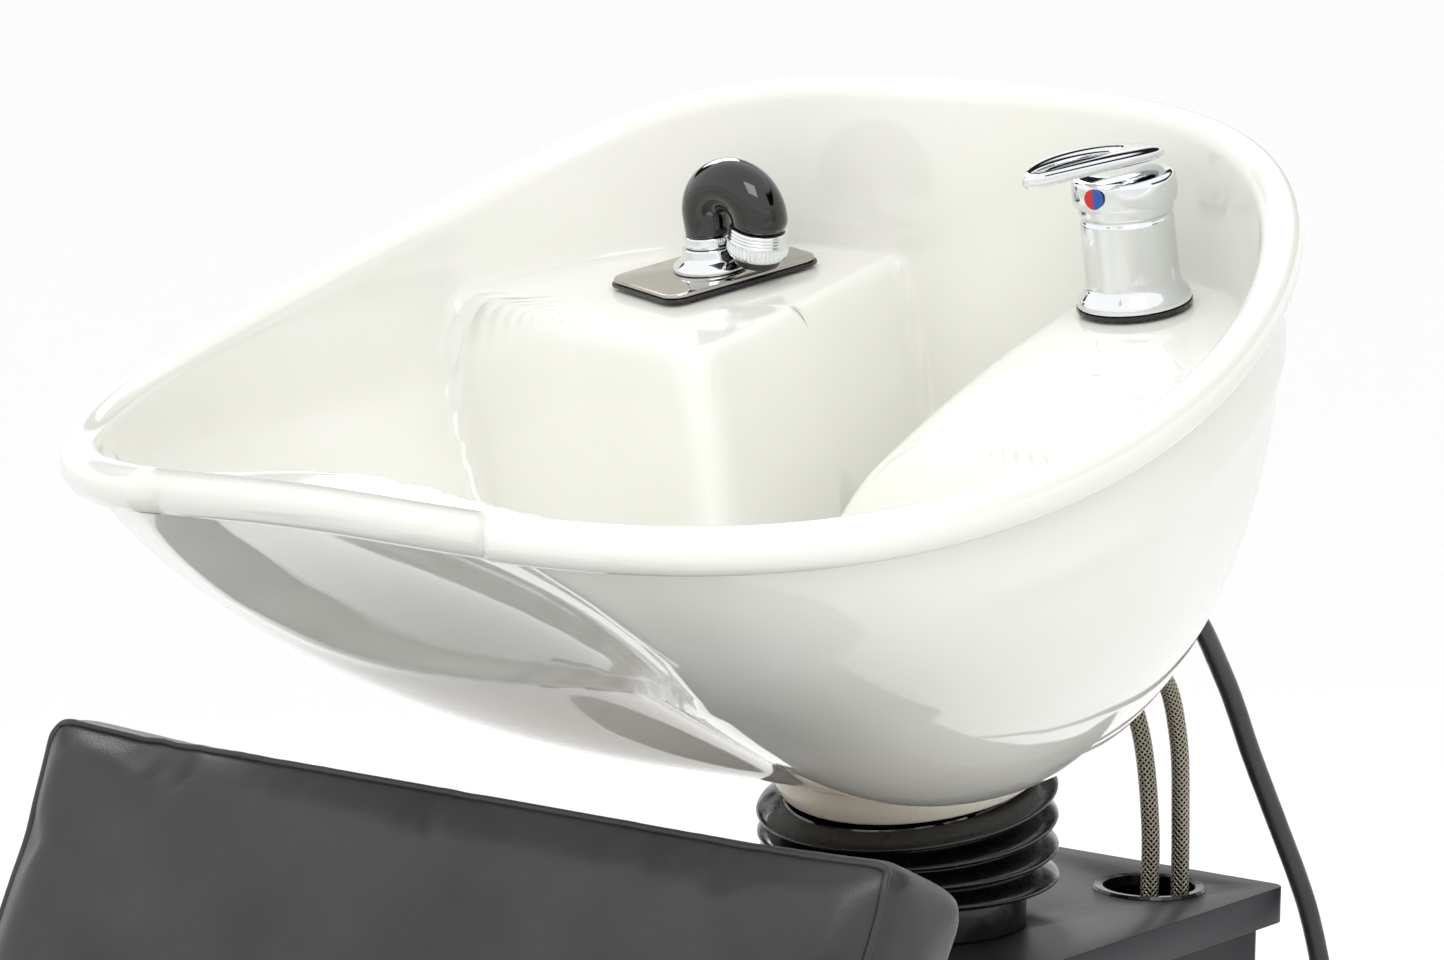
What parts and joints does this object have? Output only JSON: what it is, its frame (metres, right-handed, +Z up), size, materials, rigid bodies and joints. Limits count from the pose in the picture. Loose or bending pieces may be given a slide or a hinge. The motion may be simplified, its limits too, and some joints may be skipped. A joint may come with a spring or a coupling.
{
  "type": "shampoo backwash unit",
  "caption": "Salon backwash unit: reclined chair in front of a tilting ceramic wash bowl with lever tap and pull-out spray on a steel cabinet.",
  "frame": {"origin": "on the floor under the centre line of the column that carries the bowl, at the base plate underside", "axes": "+Z up, -Y the way the seated client faces (feet end), +Y back of the bowl, +X to the client left"},
  "size_m": [0.634, 1.2344, 1.0035],
  "materials": {
    "white_ceramic": "glossy glaze",
    "cream_plastic": "satin moulded",
    "chrome_finish": "polished plate",
    "polished_steel": "polished",
    "black_rubber": "satin moulded",
    "black_plastic": "high gloss",
    "black_powder_coat": "satin powder coat",
    "braided_steel": "woven wire",
    "leatherette": "fine pebble grain",
    "plywood": "sanded",
    "brass": "machined",
    "red_blue_mark": "printed dot",
    "red_plastic": "moulded",
    "blue_plastic": "moulded"
  },
  "bodies": {
    "root": {"base_plate": "black_powder_coat", "cabinet_shell": "black_powder_coat", "cabinet_lid": "black_powder_coat", "hose_grommet": "black_rubber", "door_hinge_pin": "polished_steel", "valve_bracket": "polished_steel", "hot_stop_valve": "brass", "cold_stop_valve": "brass", "column_tube": "black_powder_coat", "column_flange": "black_powder_coat", "yoke_ear_left": "black_powder_coat", "yoke_ear_right": "black_powder_coat", "tilt_bolt_left": "polished_steel", "tilt_bolt_right": "polished_steel", "bellows": "black_rubber", "waste_boot": "black_rubber", "waste_pipe": "cream_plastic", "hot_supply_hose": "braided_steel", "cold_supply_hose": "braided_steel", "spray_hose": "black_rubber", "seat_pedestal": "black_powder_coat", "seat_pan": "black_powder_coat", "seat_board": "plywood", "seat_cushion": "leatherette", "backrest_cushion": "leatherette", "backrest_board": "plywood", "backrest_bar_left": "black_powder_coat", "backrest_bar_right": "black_powder_coat", "arm_tube_left": "black_powder_coat", "arm_tube_right": "black_powder_coat", "arm_pad_left": "leatherette", "arm_pad_right": "leatherette"},
    "bowl_assembly": {"bowl": "white_ceramic", "foot_ring": "cream_plastic", "cradle_plate": "polished_steel", "cradle_ear_left": "polished_steel", "cradle_ear_right": "polished_steel", "drain_body": "chrome_finish", "tap_gasket": "black_rubber", "tap_body": "chrome_finish", "deck_gasket": "black_rubber", "deck_plate": "polished_steel", "dock_flange": "chrome_finish", "hot_inlet_nut": "chrome_finish", "cold_inlet_nut": "chrome_finish", "mixer_outlet_nut": "chrome_finish", "spray_inlet_nut": "chrome_finish"},
    "tap_hub": {"lever_hub": "chrome_finish", "temperature_mark": "red_blue_mark"},
    "lever": {"tap_lever": "chrome_finish"},
    "spray": {"spray_neck_ring": "chrome_finish", "spray_body": "black_plastic"},
    "spray_tip": {"spray_collar": "chrome_finish", "spray_nozzle": "black_rubber"},
    "strainer": {"drain_strainer": "polished_steel"},
    "door": {"service_door": "black_powder_coat"},
    "latch": {"door_latch_knob": "black_plastic", "door_latch_tongue": "polished_steel"},
    "hot_handle": {"hot_valve_handle": "red_plastic"},
    "cold_handle": {"cold_valve_handle": "blue_plastic"}
  },
  "joints": [
    {"name": "bowl_tilt", "type": "hinge", "parent": "root", "child": "bowl_assembly", "pos_m": [0, 0, 0.615], "axis": [1, 0, 0], "range_deg": [-14, 6], "deforming": ["bellows", "hot_supply_hose", "cold_supply_hose", "spray_hose"]},
    {"name": "lever_turn", "type": "hinge", "parent": "bowl_assembly", "child": "tap_hub", "pos_m": [0.138, -0.02066, 0.95268], "axis": [0, -0.2079, 0.9781], "range_deg": [-45, 45]},
    {"name": "lever_lift", "type": "hinge", "parent": "tap_hub", "child": "lever", "pos_m": [0.138, 0.00124, 0.97472], "axis": [-1, 0, 0], "range_deg": [0, 22]},
    {"name": "spray_pull", "type": "slide", "parent": "bowl_assembly", "child": "spray", "axis": [0, -0.2079, 0.9781], "range_m": [0, 0.12]},
    {"name": "spray_twist", "type": "hinge", "parent": "spray", "child": "spray_tip", "pos_m": [-0.08445, -0.02803, 0.92481], "axis": [-0.2419, 0.2017, -0.9491], "range_deg": [0, 60]},
    {"name": "strainer_lift", "type": "slide", "parent": "bowl_assembly", "child": "strainer", "axis": [0, -0.2079, 0.9781], "range_m": [0, 0.03]},
    {"name": "door_open", "type": "hinge", "parent": "root", "child": "door", "pos_m": [-0.11, -0.122, 0.28], "axis": [0, 0, 1], "range_deg": [0, 100]},
    {"name": "latch_turn", "type": "hinge", "parent": "door", "child": "latch", "pos_m": [-0.1059, 0.14, 0.28], "axis": [-1, 0, 0], "range_deg": [0, 90]},
    {"name": "hot_valve_turn", "type": "hinge", "parent": "root", "child": "hot_handle", "pos_m": [0.08, 0.1225, 0.25], "axis": [0, -1, 0], "range_deg": [0, 90]},
    {"name": "cold_valve_turn", "type": "hinge", "parent": "root", "child": "cold_handle", "pos_m": [0.04, 0.1225, 0.25], "axis": [0, -1, 0], "range_deg": [0, 90]}
  ]
}
